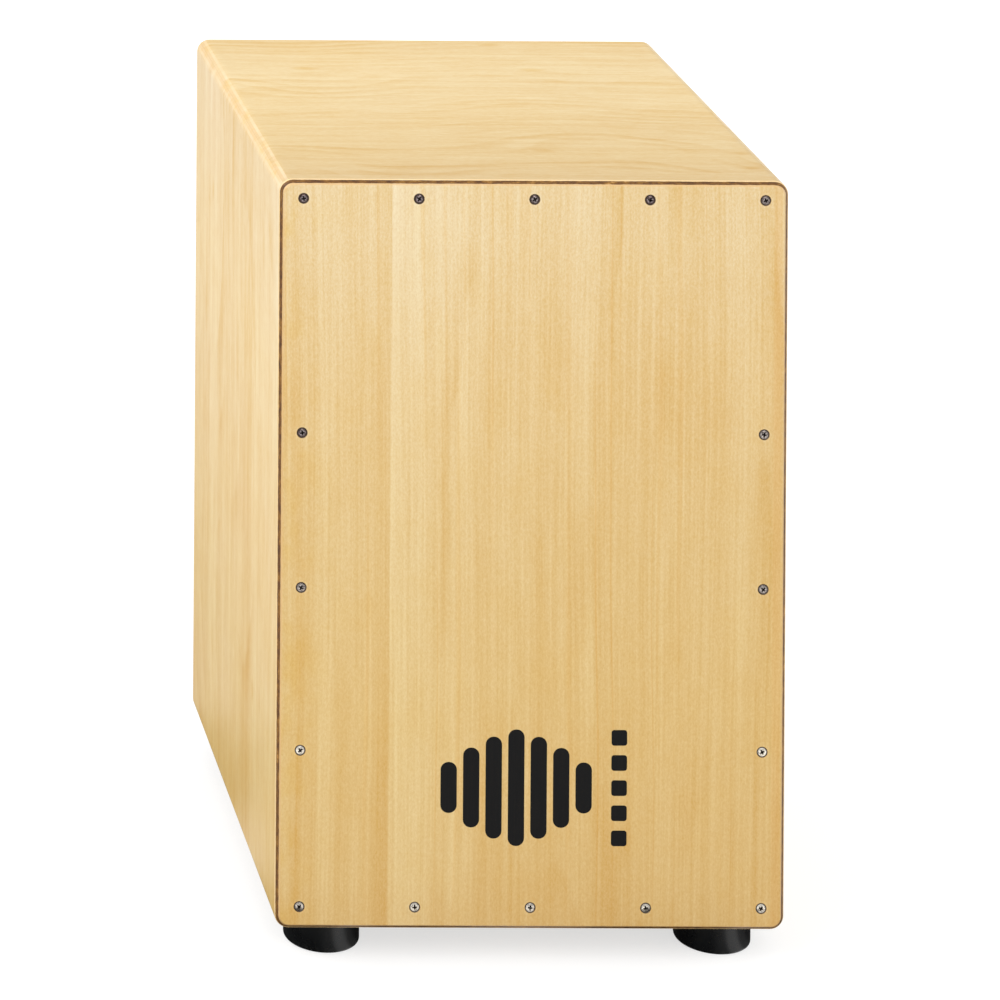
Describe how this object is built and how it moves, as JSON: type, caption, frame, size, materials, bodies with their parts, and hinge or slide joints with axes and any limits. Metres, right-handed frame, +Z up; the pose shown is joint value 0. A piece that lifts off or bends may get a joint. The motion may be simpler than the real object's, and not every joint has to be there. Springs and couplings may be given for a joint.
{
  "type": "cajon",
  "caption": "Box drum to sit on: plywood box with a thin bevelled striking plate, rear sound hole, rubber feet and two key-tuned string snares behind the plate.",
  "frame": {"origin": "centre of the footprint at floor level, the plane of the feet's undersides", "axes": "+Z up, -Y out of the striking plate, +Y out of the sound hole, +X to the right of somebody facing the plate"},
  "size_m": [0.3, 0.3005, 0.461],
  "materials": {
    "body_veneer": "satin clear-lacquered pale hardwood plywood, fine straight grain",
    "rear_veneer": "satin clear-lacquered pale hardwood plywood",
    "plate_veneer": "satin clear-lacquered face veneer over a dark brown core ply",
    "batten_wood": "planed, unlacquered",
    "screw_nickel": "nickel plated",
    "foot_rubber": "moulded black rubber",
    "washer_steel": "zinc plated",
    "bar_steel": "zinc plated sheet",
    "string_steel": "plain drawn steel wire",
    "carrier_aluminium": "milled",
    "bolt_steel": "black oxide"
  },
  "bodies": {
    "root": {"top_panel": "body_veneer", "bottom_panel": "body_veneer", "left_side_panel": "body_veneer", "right_side_panel": "body_veneer", "rear_panel": "rear_veneer", "front_plate": "plate_veneer", "front_batten_top": "batten_wood", "front_batten_bottom": "batten_wood", "front_batten_left": "batten_wood", "front_batten_right": "batten_wood", "rear_batten_top": "batten_wood", "rear_batten_bottom": "batten_wood", "rear_batten_left": "batten_wood", "rear_batten_right": "batten_wood", "front_plate_screws": "screw_nickel", "foot_front_left": "foot_rubber", "foot_front_right": "foot_rubber", "foot_rear_left": "foot_rubber", "foot_rear_right": "foot_rubber", "foot_washers": "washer_steel", "foot_screws": "screw_nickel", "string_anchor_bar": "bar_steel", "string_anchor_screws": "screw_nickel", "snare_strings_left": "string_steel", "snare_strings_right": "string_steel", "tension_washer_left": "washer_steel", "tension_washer_right": "washer_steel", "string_guide_left": "bar_steel", "string_guide_right": "bar_steel", "string_guide_screws": "screw_nickel"},
    "tension_bolt_left": {"tension_bolt_left": "bolt_steel"},
    "tension_bolt_right": {"tension_bolt_right": "bolt_steel"},
    "string_carrier_left": {"string_carrier_left": "carrier_aluminium"},
    "string_carrier_right": {"string_carrier_right": "carrier_aluminium"}
  },
  "joints": [
    {"name": "tension_bolt_left_turn", "type": "hinge", "parent": "root", "child": "tension_bolt_left", "pos_m": [-0.06, -0.139, 0.0516], "axis": [0, 0, 1], "range_deg": [-1080, 1080]},
    {"name": "string_carrier_left_slide", "type": "slide", "parent": "root", "child": "string_carrier_left", "axis": [0, 0, -1], "range_m": [-0.003, 0.003], "deforming": ["snare_strings_left"]},
    {"name": "tension_bolt_right_turn", "type": "hinge", "parent": "root", "child": "tension_bolt_right", "pos_m": [0.06, -0.139, 0.0516], "axis": [0, 0, 1], "range_deg": [-1080, 1080]},
    {"name": "string_carrier_right_slide", "type": "slide", "parent": "root", "child": "string_carrier_right", "axis": [0, 0, -1], "range_m": [-0.003, 0.003], "deforming": ["snare_strings_right"]}
  ],
  "couplings": [
    {"joint": "tension_bolt_left_turn", "follows": "string_carrier_left_slide", "rad_per_m": 6283.2},
    {"joint": "tension_bolt_right_turn", "follows": "string_carrier_right_slide", "rad_per_m": 6283.2}
  ]
}
